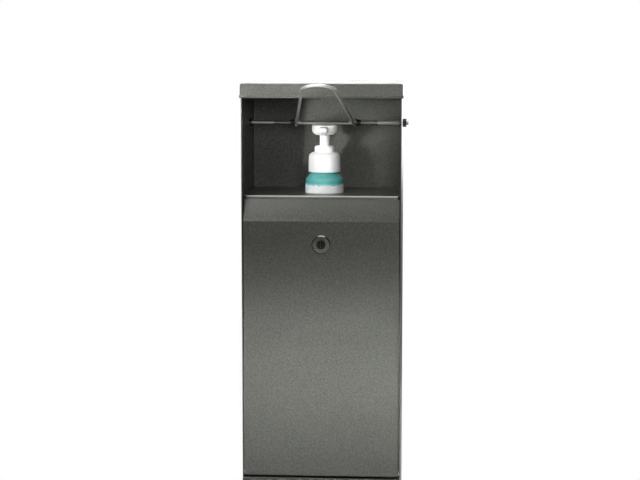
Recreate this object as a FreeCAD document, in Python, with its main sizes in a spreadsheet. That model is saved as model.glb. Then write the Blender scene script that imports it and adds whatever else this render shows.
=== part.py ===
import FreeCAD, Part
import math
import os
import Sketcher

# Frame of the stand, in millimetres
# X runs to the right, the front faces -Y and Z is up.
# The origin is the middle of the base plate's underside.

doc = FreeCAD.newDocument("SanitizerStand")
sheet = doc.addObject("Spreadsheet::Sheet", "Sizes")

SIZES = {
    # Base plate and the screws that hold the column to it
    "base_width": 300.0,
    "base_depth": 280.0,
    "base_thick": 5.0,
    "base_corner": 25.0,
    "base_bevel": 0.8,
    "anchor_radius": 4.5,
    "anchor_inset": 22.0,
    "column_screw": 3.0,
    "screw_recess": 0.2,
    "screw_proud": 1.5,
    "screw_hole_fit": 0.15,
    "screw_row_inset": 15.0,
    "column_nut_flat": 10.0,
    "column_nut_thick": 5.0,
    "thread_fit": 0.02,
    # Column of folded sheet
    "column_width": 220.0,
    "column_depth": 150.0,
    "column_top": 1048.0,
    "steel": 1.5,
    "bend_radius": 2.5,
    "foot_flange": 30.0,
    "side_fit": 0.2,
    "weld_fit": 0.1,
    # How far a fold runs into the sheet it grows from, and a cut past the sheet it opens
    "fold_root": 0.2,
    "cut_past": 1.0,
    # Hood over the top of the column
    "hood_sheet": 1.2,
    "hood_fit": 0.2,
    "hood_seat": 0.8,
    "hood_height": 20.0,
    "hood_slope": 3.0,
    "hem_height": 4.2,
    "hem_proud": 0.8,
    "hem_round": 0.7,
    # Shelf with the bottle's hole, the floor of the niche
    "niche_height": 153.0,
    "shelf_setback": 18.0,
    "lip_height": 29.0,
    "lip_round": 1.4,
    "relief_width": 3.3,
    "relief_depth": 4.0,
    "bottle_hole_fit": 1.5,
    "shelf_flange": 12.0,
    "flange_end": 12.0,
    # Door and the fixed panel under it
    "door_bottom": 503.0,
    "door_head_gap": 4.5,
    "door_slope_height": 29.5,
    "door_setback": 13.0,
    "door_gap": 1.0,
    "door_return": 14.0,
    "door_round": 1.2,
    "panel_gap": 3.0,
    "panel_return": 20.0,
    "hinge_inset": 4.5,
    "hinge_pin": 2.5,
    "hinge_pin_reach": 12.0,
    "pin_fit": 0.05,
    # Cam lock in the door
    "lock_drop": 32.0,
    "lock_flange": 13.0,
    "lock_flange_thick": 2.5,
    "lock_flange_bevel": 1.5,
    "lock_barrel": 9.4,
    "lock_length": 21.0,
    "lock_plug_radius": 6.2,
    "lock_plug_depth": 0.4,
    "key_slot_width": 1.8,
    "key_slot_height": 8.0,
    "key_slot_depth": 6.0,
    "lock_nut_flat": 22.0,
    "lock_nut_thick": 4.0,
    "cam_gap": 0.2,
    "cam_reach": 43.0,
    "cam_width": 16.0,
    "cam_thick": 2.0,
    "cam_tip_round": 4.0,
    "cam_heel_round": 6.0,
    "cam_screw": 3.0,
    "cam_screw_length": 7.0,
    "cam_screw_play": 0.8,
    "cam_screw_head": 5.0,
    "cam_screw_head_high": 3.0,
    "cam_screw_bevel": 1.0,
    # Platform inside that the bottle stands on
    "platform_drop": 145.0,
    "platform_width": 110.0,
    "platform_front": 45.0,
    "platform_edge": 6.0,
    "platform_edge_end": 15.0,
    "platform_back": 40.0,
    "rivet_radius": 2.4,
    "rivet_head": 4.5,
    "rivet_head_high": 1.2,
    "rivet_head_rim": 0.4,
    "rivet_head_bevel": 1.0,
    "rivet_spread": 35.0,
    # Bottle and label
    "bottle_radius": 27.0,
    "bottle_wall": 1.2,
    "bottle_height": 164.0,
    "bottle_foot_round": 3.0,
    "shoulder_rise": 7.0,
    "shoulder_step": 3.0,
    "shoulder_round": 2.5,
    "neck_radius": 19.0,
    "neck_length": 24.0,
    "label_low": 22.0,
    "label_high": 158.0,
    "label_thick": 0.2,
    "label_fit": 0.03,
    # Collar, chaplet, housing and piston of the foam pump
    "collar_radius": 22.7,
    "collar_gap": 3.0,
    "collar_height": 27.5,
    "collar_shoulder_high": 3.0,
    "collar_shoulder_wide": 3.5,
    "collar_round": 1.8,
    "chaplet_radius": 14.0,
    "chaplet_height": 9.0,
    "chaplet_round": 3.0,
    "housing_radius": 10.5,
    "housing_wall": 1.5,
    "housing_length": 65.5,
    "housing_neck": 7.0,
    "housing_floor": 1.5,
    "housing_flange_thick": 2.3,
    "flange_fit": 0.2,
    "piston_drop": 26.5,
    "piston_height": 13.0,
    "piston_skirt": 3.0,
    "piston_stem": 4.0,
    "piston_bore": 2.0,
    "running_fit": 0.2,
    "press_fit": 0.1,
    "spring_radius": 7.0,
    "spring_wire": 0.6,
    "spring_turns": 5.0,
    "spring_play": 0.1,
    "tube_radius": 3.5,
    "tube_wall": 1.0,
    "tube_lift": 6.0,
    "tube_socket": 6.0,
    "tube_fit": 0.05,
    # Head of the pump
    "stem_radius": 6.6,
    "stem_height": 14.5,
    "head_radius": 17.5,
    "head_height": 15.0,
    "head_dish_wide": 4.0,
    "head_dish_high": 1.5,
    "head_side_low": 5.0,
    "head_round": 1.5,
    "nozzle_width": 16.0,
    "nozzle_reach": 31.0,
    "nozzle_low": 2.5,
    "nozzle_under_top": 2.0,
    "nozzle_round": 1.5,
    "mouth_radius": 3.2,
    "mouth_inset": 6.0,
    "mouth_depth": 4.0,
    # Lever of bent wire and its pivot
    "wire_radius": 2.0,
    "pivot_back": 26.0,
    "eye_spread": 42.0,
    "loop_half": 22.0,
    "loop_reach": 166.0,
    "lever_angle": 19.5,
    "press_gap": 0.3,
    "rod_fit": 0.06,
    "eye_gap": 0.3,
    "eye_fit": 0.1,
    "rod_end_play": 1.0,
    "sleeve_radius": 3.0,
    "sleeve_inner": 74.0,
    "sleeve_proud": 7.8,
    "sleeve_bore": 20.0,
    "sleeve_nut_flat": 10.0,
    "outer_nut_thick": 5.0,
    "inner_nut_thick": 3.0,
    "set_collar_radius": 4.3,
    "set_collar_width": 6.0,
}

for row, (alias, value) in enumerate(SIZES.items(), start=1):
    sheet.set(f"A{row}", alias)
    sheet.set(f"B{row}", str(value))
    sheet.setAlias(f"B{row}", alias)
doc.recompute()


def cells(text):
    """An expression over the sheet's cells, written with the bare aliases."""
    words = []
    word = ""
    for letter in text + " ":
        if letter.isalnum() or letter == "_":
            word += letter
            continue
        words.append(f"Sizes.{word}" if word in SIZES else word)
        words.append(letter)
        word = ""
    return "".join(words).strip()


def size(expression):
    """The value of an expression over the sheet's cells."""
    value = sheet.evalExpression(cells(expression))
    return float(getattr(value, "Value", value))


# Places that several pieces share, across, from front to back and upwards
HALF = "(column_width / 2)"
BAY = f"({HALF} - steel)"
INNER = f"({BAY} - side_fit)"
FRONT = "(-column_depth / 2)"
BACK = "(column_depth / 2)"
BACK_WALL = f"({BACK} - steel)"
SHELF_FRONT = f"({FRONT} + shelf_setback)"
SHELF_TOP = "(column_top - niche_height)"
FOOT_TOP = "(base_thick + steel)"
COLUMN_SCREW_X = f"({BAY} - foot_flange / 2)"
COLUMN_SCREW_Y = f"({BACK_WALL} - foot_flange / 2 - screw_row_inset)"
SCREW_HOLE = "(column_screw + screw_hole_fit)"
HOOD_TOP = "(column_top + hood_seat + hood_sheet)"
HOOD_OUT = f"({HALF} + hood_fit + hood_sheet)"
HOOD_FRONT = f"({FRONT} - hood_fit - hood_sheet)"
HOOD_BACK = f"({BACK} + hood_fit + hood_sheet)"
HOOD_BOTTOM = f"({HOOD_TOP} - hood_height)"
HEM_TOP = f"({HOOD_BOTTOM} + hem_height)"
DOOR_HALF = f"({BAY} - door_gap)"
DOOR_TOP = f"({SHELF_TOP} - door_head_gap)"
DOOR_BEND = f"({DOOR_TOP} - door_slope_height)"
DOOR_LEAN = "atan(door_setback / door_slope_height)"
HINGE_Y = f"({FRONT} + hinge_inset)"
HINGE_Z = "(door_bottom + hinge_inset)"
LOCK_Z = f"({DOOR_BEND} - lock_drop)"
LOCK_BACK = f"({FRONT} + lock_length)"
PLATFORM_TOP = f"({SHELF_TOP} - platform_drop)"
RIVET_Z = f"({PLATFORM_TOP} - platform_back / 2)"
RIVET_HOLE = "(rivet_radius + pin_fit)"
SHOULDER = f"({PLATFORM_TOP} + bottle_height)"
NECK_FOOT = f"({SHOULDER} + shoulder_rise)"
NECK_TOP = f"({NECK_FOOT} + neck_length)"
COLLAR_BOTTOM = f"({NECK_FOOT} + collar_gap)"
COLLAR_TOP = f"({COLLAR_BOTTOM} + collar_height)"
CHAPLET_TOP = f"({COLLAR_TOP} + chaplet_height)"
HOUSING_BOTTOM = f"({COLLAR_TOP} - housing_length)"
HOUSING_INNER = "(housing_radius - housing_wall)"
HOUSING_STEP = f"({HOUSING_BOTTOM} + housing_neck)"
PISTON_BOTTOM = f"({COLLAR_TOP} - piston_drop)"
PISTON_TOP = f"({PISTON_BOTTOM} + piston_height)"
HEAD_BOTTOM = f"({CHAPLET_TOP} + stem_height)"
HEAD_TOP = f"({HEAD_BOTTOM} + head_height)"
EYE_RADIUS = "(2 * wire_radius + eye_fit)"
LEVER_SLOPE = "(lever_angle * 1deg)"
LEG_LEAN = "atan((eye_spread - loop_half) / loop_reach)"
LOOP_BEND = f"(loop_half / cos({LEG_LEAN}))"
WELD = f"((4 * wire_radius + eye_fit) / cos({LEVER_SLOPE}))"
ROD_Z = f"({HEAD_TOP} + press_gap + wire_radius + {WELD} - pivot_back * tan({LEVER_SLOPE}))"


def new_body(name):
    body = doc.addObject("PartDesign::Body", name)
    body.Label = name
    return body


def new_sketch(body, role, offset="0"):
    """An empty sketch on one of the body's origin planes, moved along the plane's normal."""
    plane = [f for f in body.Origin.OriginFeatures if f.Role == role][0]
    sketch = body.newObject("Sketcher::SketchObject", f"{body.Name}_sketch")
    sketch.AttachmentSupport = [(plane, "")]
    sketch.MapMode = "FlatFace"
    sketch.setExpression("AttachmentOffset.Base.z", cells(offset))
    return sketch


def bind(sketch, kind, geometry, place, expression):
    """One dimension of a sketch, bound to an expression."""
    if place is None:
        constraint = Sketcher.Constraint(kind, geometry, 1.0)
    else:
        constraint = Sketcher.Constraint(kind, geometry, place, 1.0)
    index = sketch.addConstraint(constraint)
    sketch.setExpression(f"Constraints[{index}]", cells(expression))


def outline(sketch, points):
    """A closed outline of straight lines, each corner at its own two expressions."""
    start = sketch.GeometryCount
    count = len(points)
    for i in range(count):
        here = FreeCAD.Vector(i, i * i, 0)
        there = FreeCAD.Vector((i + 1) % count, ((i + 1) % count) ** 2, 0)
        sketch.addGeometry(Part.LineSegment(here, there), False)
    for i, (across, up) in enumerate(points):
        line = start + i
        before = start + (i - 1) % count
        sketch.addConstraint(Sketcher.Constraint("Coincident", before, 2, line, 1))
        bind(sketch, "DistanceX", line, 1, across)
        bind(sketch, "DistanceY", line, 1, up)


def rectangle(sketch, left, bottom, right, top):
    outline(sketch, [(left, bottom), (right, bottom), (right, top), (left, top)])


def circle(sketch, across, up, radius):
    """A circle with its centre at two expressions."""
    index = sketch.GeometryCount
    centre = FreeCAD.Vector(1, 1, 0)
    sketch.addGeometry(Part.Circle(centre, Z_AXIS, 1.0), False)
    bind(sketch, "DistanceX", index, 3, across)
    bind(sketch, "DistanceY", index, 3, up)
    bind(sketch, "Radius", index, None, radius)


def pad(body, sketch, length, middle=False, flip=False):
    """Material along the sketch's normal."""
    feature = body.newObject("PartDesign::Pad", f"{body.Name}_pad")
    feature.Profile = sketch
    feature.setExpression("Length", cells(length))
    feature.Midplane = middle
    feature.Reversed = flip
    doc.recompute()
    return feature


def pocket(body, sketch, length, middle=False, flip=False):
    """A cut against the sketch's normal, which has to take something away."""
    before = body.Shape.Volume
    feature = body.newObject("PartDesign::Pocket", f"{body.Name}_pocket")
    feature.Profile = sketch
    feature.setExpression("Length", cells(length))
    feature.Midplane = middle
    feature.Reversed = flip
    doc.recompute()
    assert body.Shape.Volume < before, f"{feature.Name} cut nothing"
    return feature


def turned(name, points):
    """A body turned about its own Z axis, from the half outline given as (radius, height)."""
    body = new_body(name)
    sketch = new_sketch(body, "XZ_Plane")
    outline(sketch, points)
    feature = body.newObject("PartDesign::Revolution", f"{name}_turn")
    feature.Profile = sketch
    feature.ReferenceAxis = (sketch, ["V_Axis"])
    feature.Angle = 360
    doc.recompute()
    return body


def edges_where(body, test):
    """Names of the edges of a body's shape whose middle point and direction pass the test."""
    names = []
    for i, edge in enumerate(body.Shape.Edges, start=1):
        middle = edge.valueAt((edge.FirstParameter + edge.LastParameter) / 2)
        if test(edge, middle):
            names.append(f"Edge{i}")
    return names


def rounded(body, test, radius):
    """A fillet along the edges that pass the test."""
    names = edges_where(body, test)
    assert names, f"{body.Name} has no edge to round"
    solid = body.Tip
    feature = body.newObject("PartDesign::Fillet", f"{body.Name}_fillet")
    feature.Base = (solid, names)
    feature.setExpression("Radius", cells(radius))
    doc.recompute()
    return feature


def bevelled(body, test, width):
    """A chamfer along the edges that pass the test."""
    names = edges_where(body, test)
    assert names, f"{body.Name} has no edge to bevel"
    solid = body.Tip
    feature = body.newObject("PartDesign::Chamfer", f"{body.Name}_chamfer")
    feature.Base = (solid, names)
    feature.setExpression("Size", cells(width))
    doc.recompute()
    return feature


def upright(edge):
    """Whether an edge runs along Z."""
    first, last = edge.Vertexes[0].Point, edge.Vertexes[-1].Point
    return (first - last).Length > 0.01 and abs(first.x - last.x) + abs(first.y - last.y) < 0.001


def level_x(edge):
    """Whether an edge runs along X."""
    first, last = edge.Vertexes[0].Point, edge.Vertexes[-1].Point
    return (first - last).Length > 0.01 and abs(first.y - last.y) + abs(first.z - last.z) < 0.001


def near(value, expression, within=0.05):
    """Whether a number is at the place that an expression gives."""
    return abs(value - size(expression)) < within


def is_rim(edge, middle, radius, high):
    """Whether an edge is the circle of that radius at that height."""
    return edge.Closed and near(edge.Curve.Radius, radius) and near(middle.z, high)


def place(item, across, deep, high):
    """Puts an object at three expressions."""
    for axis, expression in zip("xyz", (across, deep, high)):
        item.setExpression(f"Placement.Base.{axis}", cells(expression))
    return item


def turn_to(item, axis, degrees):
    item.Placement.Rotation = FreeCAD.Rotation(axis, degrees)
    return item


# Named by what they are turned about: a piece made along Z then lies along X or along -Y
X_AXIS = FreeCAD.Vector(1, 0, 0)
Y_AXIS = FreeCAD.Vector(0, 1, 0)
Z_AXIS = FreeCAD.Vector(0, 0, 1)
SIDES = (("left", "-", -90), ("right", "", 90))
CORNERS = (("-", "-"), ("", "-"), ("-", ""), ("", ""))


def hexagon_nut(name, flat, thick, bore):
    """A hexagon nut along Z, its width across flats given."""
    blank = doc.addObject("Part::Prism", f"{name}_blank")
    blank.Polygon = 6
    blank.setExpression("Circumradius", cells(f"{flat} / 2 / cos(30deg)"))
    blank.setExpression("Height", cells(thick))
    hole = doc.addObject("Part::Cylinder", f"{name}_hole")
    hole.setExpression("Radius", cells(bore))
    hole.setExpression("Height", cells(thick))
    nut = doc.addObject("Part::Cut", name)
    nut.Label = name
    nut.Base = blank
    nut.Tool = hole
    return nut


nodes = []


def keep(item):
    """Adds a finished piece to the list of nodes."""
    nodes.append(item)
    return item


def keep_group(name, items):
    """Several like pieces, kept as separate solids under one name."""
    made = doc.addObject("Part::Compound", name)
    made.Label = name
    made.Links = items
    return keep(made)


# Base plate, and the countersunk screws that hold the column to it
def base_plate():
    body = new_body("base_plate")
    plan = new_sketch(body, "XY_Plane")
    rectangle(plan, "-base_width / 2", "-base_depth / 2", "base_width / 2", "base_depth / 2")
    pad(body, plan, "base_thick")
    rounded(body, lambda edge, m: upright(edge), "base_corner")
    bevelled(body, lambda edge, m: near(m.z, "base_thick"), "base_bevel")
    holes = new_sketch(body, "XY_Plane")
    for side, end in CORNERS:
        across = f"{side}(base_width / 2 - anchor_inset)"
        circle(holes, across, f"{end}(base_depth / 2 - anchor_inset)", "anchor_radius")
        circle(holes, f"{side}{COLUMN_SCREW_X}", f"{end}{COLUMN_SCREW_Y}", SCREW_HOLE)
    pocket(body, holes, "base_thick", flip=True)
    bevelled(body, lambda edge, m: is_rim(edge, m, SCREW_HOLE, "0"), "column_screw")
    return keep(body)


def column_screws():
    """Countersunk screws up through the base plate, with a nut on each inside the foot."""
    screw_top = f"{FOOT_TOP} + column_nut_thick + screw_proud"
    screws = []
    nuts = []
    for i, (side, end) in enumerate(CORNERS):
        across, deep = f"{side}{COLUMN_SCREW_X}", f"{end}{COLUMN_SCREW_Y}"
        screw = turned(f"column_screw_{i}", [
            ("0", "screw_recess"),
            ("2 * column_screw - screw_recess / 2", "screw_recess"),
            ("column_screw", "column_screw + screw_recess / 2"),
            ("column_screw", screw_top),
            ("0", screw_top),
        ])
        screws.append(place(screw, across, deep, "0"))
        bore = "column_screw + thread_fit"
        nut = hexagon_nut(f"column_nut_{i}", "column_nut_flat", "column_nut_thick", bore)
        nuts.append(place(nut, across, deep, FOOT_TOP))
    keep_group("column_screws", screws)
    keep_group("column_nuts", nuts)


def column_shell():
    """A back and two side walls in one folded sheet, with a flange turned in at the foot."""
    body = new_body("column_shell")
    plan = new_sketch(body, "XY_Plane", "base_thick")
    outline(plan, [
        (f"-{HALF}", FRONT),
        (f"-{BAY}", FRONT),
        (f"-{BAY}", BACK_WALL),
        (BAY, BACK_WALL),
        (BAY, FRONT),
        (HALF, FRONT),
        (HALF, BACK),
        (f"-{HALF}", BACK),
    ])
    pad(body, plan, "column_top - base_thick")
    rounded(body, lambda edge, m: upright(edge) and near(m.y, BACK), "bend_radius")
    rounded(body, lambda edge, m: upright(edge) and near(m.y, BACK_WALL), "bend_radius - steel")
    foot = new_sketch(body, "XY_Plane", "base_thick")
    root = f"({BAY} + fold_root)"
    rectangle(foot, f"-{root}", FRONT, root, f"{BACK_WALL} + fold_root")
    rectangle(
        foot,
        f"-{BAY} + foot_flange",
        f"{FRONT} + foot_flange",
        f"{BAY} - foot_flange",
        f"{BACK_WALL} - foot_flange",
    )
    pad(body, foot, "steel")
    screws = new_sketch(body, "XY_Plane", "base_thick")
    for side, end in CORNERS:
        circle(screws, f"{side}{COLUMN_SCREW_X}", f"{end}{COLUMN_SCREW_Y}", SCREW_HOLE)
    pocket(body, screws, "steel", flip=True)
    # Slope at the top front corners, under the hood's sloping face
    slope = new_sketch(body, "YZ_Plane")
    outline(slope, [
        (f"{FRONT} - cut_past", HEM_TOP),
        (FRONT, HEM_TOP),
        (f"{FRONT} + hood_slope + cut_past", "column_top + hood_seat"),
        (f"{FRONT} - cut_past", "column_top + hood_seat"),
    ])
    across = "column_width + 2 * cut_past"
    pocket(body, slope, across, middle=True)
    # Round holes for the lever's sleeves, the door's hinge pins and the platform's rivets
    holes = new_sketch(body, "YZ_Plane")
    circle(holes, "pivot_back", ROD_Z, "sleeve_radius + pin_fit")
    circle(holes, HINGE_Y, HINGE_Z, "hinge_pin + pin_fit")
    pocket(body, holes, across, middle=True)
    rivets = new_sketch(body, "XZ_Plane", f"-{BACK_WALL} + cut_past")
    for _, sign, _ in SIDES:
        circle(rivets, f"{sign}rivet_spread", RIVET_Z, RIVET_HOLE)
    pocket(body, rivets, "steel + 2 * cut_past")
    return keep(body)


def hood():
    """A lid of thinner sheet over the top of the column, with a hem along its front edge."""
    body = new_body("hood")
    side = new_sketch(body, "YZ_Plane")
    outline(side, [
        (HOOD_FRONT, HOOD_BOTTOM),
        (HOOD_BACK, HOOD_BOTTOM),
        (HOOD_BACK, HOOD_TOP),
        (f"{HOOD_FRONT} + hood_slope", HOOD_TOP),
        (HOOD_FRONT, HEM_TOP),
    ])
    pad(body, side, f"2 * {HOOD_OUT}", middle=True)
    rounded(body, lambda edge, m: near(m.z, HOOD_TOP), "bend_radius")
    solid = body.Tip
    under = [
        f"Face{i}"
        for i, face in enumerate(solid.Shape.Faces, start=1)
        if near(face.CenterOfMass.z, HOOD_BOTTOM)
    ]
    shell = body.newObject("PartDesign::Thickness", "hood_wall")
    shell.Base = (solid, under)
    shell.setExpression("Value", cells("hood_sheet"))
    shell.Reversed = True
    doc.recompute()
    hem = new_sketch(body, "YZ_Plane")
    hem_front = f"({HOOD_FRONT} - hem_proud)"
    rectangle(hem, hem_front, HOOD_BOTTOM, f"{HOOD_FRONT} + hood_sheet", HEM_TOP)
    pad(body, hem, f"2 * ({HOOD_OUT} + hem_proud)", middle=True)
    rounded(body, lambda edge, m: level_x(edge) and near(m.y, hem_front), "hem_round")
    return keep(body)


def shelf():
    """The niche's floor: a plate with a folded front lip, side flanges and the bottle's hole."""
    body = new_body("shelf")
    lip = f"({INNER} - relief_width)"
    notch = f"{SHELF_FRONT} + relief_depth"
    clipped = f"{BACK_WALL} - bend_radius"
    plan = new_sketch(body, "XY_Plane", f"{SHELF_TOP} - steel")
    outline(plan, [
        (f"-{lip}", SHELF_FRONT),
        (lip, SHELF_FRONT),
        (lip, notch),
        (INNER, notch),
        (INNER, clipped),
        (f"{INNER} - bend_radius", BACK_WALL),
        (f"-{INNER} + bend_radius", BACK_WALL),
        (f"-{INNER}", clipped),
        (f"-{INNER}", notch),
        (f"-{lip}", notch),
    ])
    circle(plan, "0", "0", "bottle_radius + bottle_hole_fit")
    pad(body, plan, "steel")
    front = new_sketch(body, "XZ_Plane", f"-{SHELF_FRONT}")
    rectangle(front, f"-{lip}", f"{SHELF_TOP} - lip_height", lip, f"{SHELF_TOP} - steel")
    pad(body, front, "steel", flip=True)
    # Side flanges, made as one block whose middle is cut away
    flange_front, flange_back = f"{SHELF_FRONT} + flange_end", f"{BACK_WALL} - relief_depth"
    flange_foot, flange_root = f"{SHELF_TOP} - shelf_flange", f"{SHELF_TOP} - steel"
    block = new_sketch(body, "YZ_Plane")
    rectangle(block, flange_front, flange_foot, flange_back, flange_root)
    pad(body, block, f"2 * {INNER}", middle=True)
    gap = new_sketch(body, "YZ_Plane")
    rectangle(
        gap,
        f"{flange_front} - cut_past",
        f"{flange_foot} - cut_past",
        f"{flange_back} + cut_past",
        flange_root,
    )
    pocket(body, gap, f"2 * ({INNER} - steel)", middle=True)
    rounded(
        body,
        lambda edge, m: level_x(edge) and near(m.y, SHELF_FRONT) and near(m.z, SHELF_TOP),
        "lip_round",
    )
    return keep(body)


def lower_front_panel():
    """Fixed panel under the door: a folded channel welded between the side walls."""
    body = new_body("lower_front_panel")
    foot = f"({FOOT_TOP} + weld_fit)"
    top = "(door_bottom - panel_gap)"
    turned_in = f"{FRONT} + panel_return"
    plan = new_sketch(body, "XY_Plane", foot)
    outline(plan, [
        (f"-{INNER}", FRONT),
        (INNER, FRONT),
        (INNER, turned_in),
        (f"{INNER} - steel", turned_in),
        (f"{INNER} - steel", f"{FRONT} + steel"),
        (f"-{INNER} + steel", f"{FRONT} + steel"),
        (f"-{INNER} + steel", turned_in),
        (f"-{INNER}", turned_in),
    ])
    pad(body, plan, f"{top} - {foot}")
    cap = new_sketch(body, "XY_Plane", f"{top} - steel")
    side = f"({INNER} - fold_root)"
    rectangle(cap, f"-{side}", f"{FRONT} + fold_root", side, turned_in)
    pad(body, cap, "steel")
    rounded(
        body,
        lambda edge, m: level_x(edge) and near(m.y, FRONT) and near(m.z, top),
        "door_round",
    )
    return keep(body)


def door():
    """A folded tray: its face stands upright and its top slopes back under the shelf's edge."""
    body = new_body("door")
    turned_in = f"{FRONT} + door_return"
    side = new_sketch(body, "YZ_Plane")
    outline(side, [
        (FRONT, "door_bottom"),
        (turned_in, "door_bottom"),
        (turned_in, DOOR_BEND),
        (f"{FRONT} + door_setback + steel", DOOR_TOP),
        (f"{FRONT} + door_setback", DOOR_TOP),
        (FRONT, DOOR_BEND),
    ])
    pad(body, side, f"2 * {DOOR_HALF}", middle=True)
    # The hollow of the tray, one sheet's thickness behind the face and the slope
    hollow = new_sketch(body, "YZ_Plane")
    past_top = f"({DOOR_TOP} + cut_past)"
    slope_back = f"steel / cos({DOOR_LEAN}) + ({past_top} - {DOOR_BEND}) * tan({DOOR_LEAN})"
    outline(hollow, [
        (f"{FRONT} + steel", "door_bottom + steel"),
        (f"{turned_in} + door_setback", "door_bottom + steel"),
        (f"{turned_in} + door_setback", past_top),
        (f"{FRONT} + {slope_back}", past_top),
        (f"{FRONT} + steel", f"{DOOR_BEND} - steel * tan({DOOR_LEAN} / 2)"),
    ])
    pocket(body, hollow, f"2 * ({DOOR_HALF} - steel)", middle=True)
    rounded(body, lambda edge, m: level_x(edge) and near(m.y, FRONT), "door_round")
    lock_hole = new_sketch(body, "XZ_Plane", f"-{FRONT}")
    circle(lock_hole, "0", LOCK_Z, "lock_barrel + screw_hole_fit")
    pocket(body, lock_hole, "steel + cut_past")
    pins = new_sketch(body, "YZ_Plane")
    circle(pins, HINGE_Y, HINGE_Z, "hinge_pin + pin_fit")
    pocket(body, pins, "column_width", middle=True)
    return keep(body)


def hinge_pins():
    """Pins riveted flush in the side walls, on which the door swings."""
    for side, sign, turn in SIDES:
        pin = doc.addObject("Part::Cylinder", f"hinge_pin_{side}")
        pin.Label = f"hinge_pin_{side}"
        pin.setExpression("Radius", cells("hinge_pin"))
        pin.setExpression("Height", cells("hinge_pin_reach"))
        turn_to(pin, Y_AXIS, -turn)
        keep(place(pin, f"{sign}{HALF}", HINGE_Y, HINGE_Z))


# Cam lock
def along_front(item, deep):
    """Turns a piece made along Z to face the front, and puts it on the lock's axis."""
    turn_to(item, X_AXIS, 90)
    return keep(place(item, "0", deep, LOCK_Z))


def lock_body():
    """The threaded barrel with its round flange, and the nut that clamps it in the door."""
    bore = "lock_plug_radius + rod_fit"
    barrel = turned("lock_body", [
        (bore, "-lock_length"),
        ("lock_barrel", "-lock_length"),
        ("lock_barrel", "0"),
        ("lock_flange", "0"),
        ("lock_flange", "lock_flange_thick - lock_flange_bevel"),
        ("lock_flange - lock_flange_bevel", "lock_flange_thick"),
        (bore, "lock_flange_thick"),
    ])
    along_front(barrel, FRONT)
    nut = hexagon_nut("lock_nut", "lock_nut_flat", "lock_nut_thick", "lock_barrel + thread_fit")
    along_front(nut, f"{FRONT} + steel + lock_nut_thick")


def lock_plug():
    """The plug that the key turns: a slot in its face, and a threaded hole for the cam's screw."""
    back, face = "(-lock_length - cam_gap)", "(lock_flange_thick - lock_plug_depth)"
    plug = turned("lock_plug", [
        ("0", back),
        ("lock_plug_radius", back),
        ("lock_plug_radius", face),
        ("0", face),
    ])
    slot = new_sketch(plug, "XY_Plane", face)
    rectangle(
        slot,
        "-key_slot_width / 2",
        "-key_slot_height / 2",
        "key_slot_width / 2",
        "key_slot_height / 2",
    )
    pocket(plug, slot, "key_slot_depth")
    thread = new_sketch(plug, "XY_Plane", back)
    circle(thread, "0", "0", "cam_screw")
    pocket(plug, thread, "cam_screw_length + cut_past", flip=True)
    along_front(plug, FRONT)


def lock_cam():
    """The cam, which points to the right when the lock is open, and the screw that holds it."""
    cam = new_body("lock_cam")
    plan = new_sketch(cam, "XY_Plane")
    rectangle(plan, "-cam_width / 2", "-cam_width / 2", "cam_reach", "cam_width / 2")
    circle(plan, "0", "0", "cam_screw + thread_fit")
    pad(cam, plan, "cam_thick")
    rounded(cam, lambda edge, m: upright(edge) and near(m.x, "cam_reach"), "cam_tip_round")
    rounded(cam, lambda edge, m: upright(edge) and near(m.x, "-cam_width / 2"), "cam_heel_round")
    along_front(cam, f"{LOCK_BACK} + cam_gap + cam_thick")
    screw = turned("cam_screw", [
        ("0", "-cam_screw_length"),
        ("cam_screw", "-cam_screw_length"),
        ("cam_screw", "cam_thick"),
        ("cam_screw_head", "cam_thick"),
        ("cam_screw_head", "cam_thick + cam_screw_head_high - cam_screw_bevel"),
        ("cam_screw_head - cam_screw_bevel", "cam_thick + cam_screw_head_high"),
        ("0", "cam_thick + cam_screw_head_high"),
    ])
    turn_to(screw, X_AXIS, -90)
    keep(place(screw, "0", f"{LOCK_BACK} + cam_gap", LOCK_Z))


def bottle_platform():
    """A bracket riveted to the back wall, with a low edge that keeps the bottle on it."""
    body = new_body("bottle_platform")
    side = new_sketch(body, "YZ_Plane")
    outline(side, [
        ("-platform_front", f"{PLATFORM_TOP} - steel"),
        (f"{BACK_WALL} - steel", f"{PLATFORM_TOP} - steel"),
        (f"{BACK_WALL} - steel", f"{PLATFORM_TOP} - platform_back"),
        (BACK_WALL, f"{PLATFORM_TOP} - platform_back"),
        (BACK_WALL, PLATFORM_TOP),
        ("-platform_front + steel", PLATFORM_TOP),
        ("-platform_front + steel", f"{PLATFORM_TOP} + platform_edge"),
        ("-platform_front", f"{PLATFORM_TOP} + platform_edge"),
    ])
    pad(body, side, "platform_width", middle=True)
    sides = new_sketch(body, "XY_Plane", PLATFORM_TOP)
    for _, sign, _ in SIDES:
        rectangle(
            sides,
            f"{sign}(platform_width / 2 - steel)",
            "-platform_front",
            f"{sign}platform_width / 2",
            f"{BACK_WALL} - platform_edge_end",
        )
    pad(body, sides, "platform_edge")
    rivets = new_sketch(body, "XZ_Plane", f"-{BACK_WALL} + steel + cut_past")
    for _, sign, _ in SIDES:
        circle(rivets, f"{sign}rivet_spread", RIVET_Z, RIVET_HOLE)
    pocket(body, rivets, "steel + 2 * cut_past")
    return keep(body)


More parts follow.
